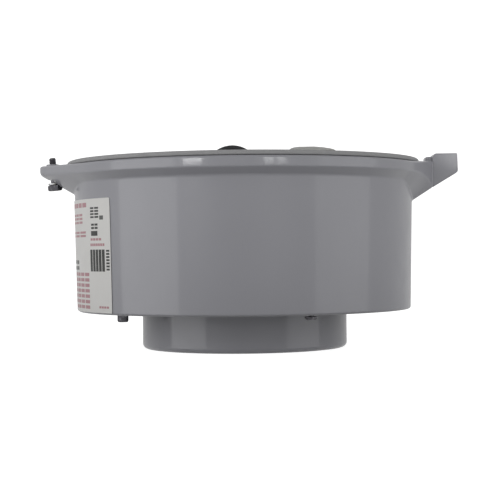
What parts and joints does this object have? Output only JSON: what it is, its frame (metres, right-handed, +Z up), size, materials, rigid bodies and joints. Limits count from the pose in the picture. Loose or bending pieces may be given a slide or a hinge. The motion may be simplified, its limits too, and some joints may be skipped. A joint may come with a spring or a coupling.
{
  "type": "luminaire ballast housing",
  "caption": "Round cast ballast housing of an industrial discharge luminaire: gasketed open tank with control gear, hinge ear, captive closure bolt and a globe neck with lampholder.",
  "frame": {"origin": "middle of the tank floor's top face, on the axis of the neck", "axes": "+Z up out of the tank's open top; +X towards the hinge ear; -X towards the closure bolt"},
  "size_m": [0.3716, 0.314, 0.1747],
  "materials": {
    "body_paint": "satin",
    "gasket_rubber": "matte",
    "black_rubber": "satin",
    "plated_steel": "satin",
    "dark_steel": "satin",
    "porcelain": "gloss",
    "brass": "satin",
    "spring_steel": "satin",
    "label_film": "satin",
    "lamination_steel": "matte",
    "winding_copper": "satin",
    "can_aluminium": "satin",
    "phenolic": "satin",
    "potting": "satin",
    "ground_green": "satin",
    "lead_black": "satin",
    "lead_blue": "satin",
    "lead_yellow": "satin",
    "lead_red": "satin",
    "lead_white": "satin",
    "lead_green": "satin"
  },
  "bodies": {
    "housing": {"ballast_housing": "body_paint", "hood_gasket": "gasket_rubber", "data_label": "label_film", "hinge_pin": "plated_steel", "guard_screw_1": "dark_steel", "guard_screw_2": "dark_steel", "guard_screw_3": "dark_steel", "guard_screw_4": "dark_steel", "globe_set_screw": "plated_steel", "globe_gasket": "gasket_rubber", "lead_bushing": "black_rubber", "lampholder_bracket": "plated_steel", "lampholder_body": "porcelain", "lampholder_screw_shell": "brass", "lampholder_contact_spring": "spring_steel", "lampholder_screw_1": "plated_steel", "lampholder_screw_2": "plated_steel", "ballast_core": "lamination_steel", "primary_coil": "winding_copper", "secondary_coil": "winding_copper", "core_bracket_left": "plated_steel", "core_bracket_right": "plated_steel", "core_bolt_1": "dark_steel", "core_nut_1": "dark_steel", "core_bolt_2": "dark_steel", "core_nut_2": "dark_steel", "core_foot_screw_1": "plated_steel", "core_foot_screw_2": "plated_steel", "core_foot_screw_3": "plated_steel", "core_foot_screw_4": "plated_steel", "capacitor_can": "can_aluminium", "capacitor_cap": "black_rubber", "capacitor_terminal_1": "brass", "capacitor_terminal_2": "brass", "capacitor_clamp": "plated_steel", "capacitor_clamp_screw": "plated_steel", "ignitor_bracket": "plated_steel", "ignitor_case": "potting", "ignitor_screw_1": "plated_steel", "ignitor_screw_2": "plated_steel", "terminal_block": "phenolic", "terminal_screw_1": "brass", "terminal_screw_2": "brass", "terminal_screw_3": "brass", "terminal_screw_4": "brass", "terminal_foot_screw_1": "plated_steel", "terminal_foot_screw_2": "plated_steel", "ground_tag": "brass", "ground_screw": "ground_green", "line_lead": "lead_black", "ignitor_lead": "lead_blue", "capacitor_lead_1": "lead_yellow", "capacitor_lead_2": "lead_yellow", "lamp_lead": "lead_red", "shell_lead": "lead_white", "ground_lead": "lead_green"},
    "closure_carrier": {"closure_washer": "plated_steel", "closure_retaining_ring": "spring_steel"},
    "closure_bolt": {"closure_bolt": "dark_steel"},
    "centre_contact": {"lampholder_centre_contact": "brass"}
  },
  "joints": [
    {"name": "closure_slide", "type": "slide", "parent": "housing", "child": "closure_carrier", "axis": [-0.0854, 0, 0.9963], "range_m": [0, 0.002]},
    {"name": "closure_spin", "type": "hinge", "parent": "closure_carrier", "child": "closure_bolt", "pos_m": [-0.1688, 0, 0.1175], "axis": [-0.0854, 0, 0.9963], "continuous": true},
    {"name": "contact_press", "type": "slide", "parent": "housing", "child": "centre_contact", "axis": [0, 0, 1], "range_m": [0, 0.002], "stiffness_N_per_m": 800, "springref_m": -0.002, "deforming": ["lampholder_contact_spring"]}
  ]
}
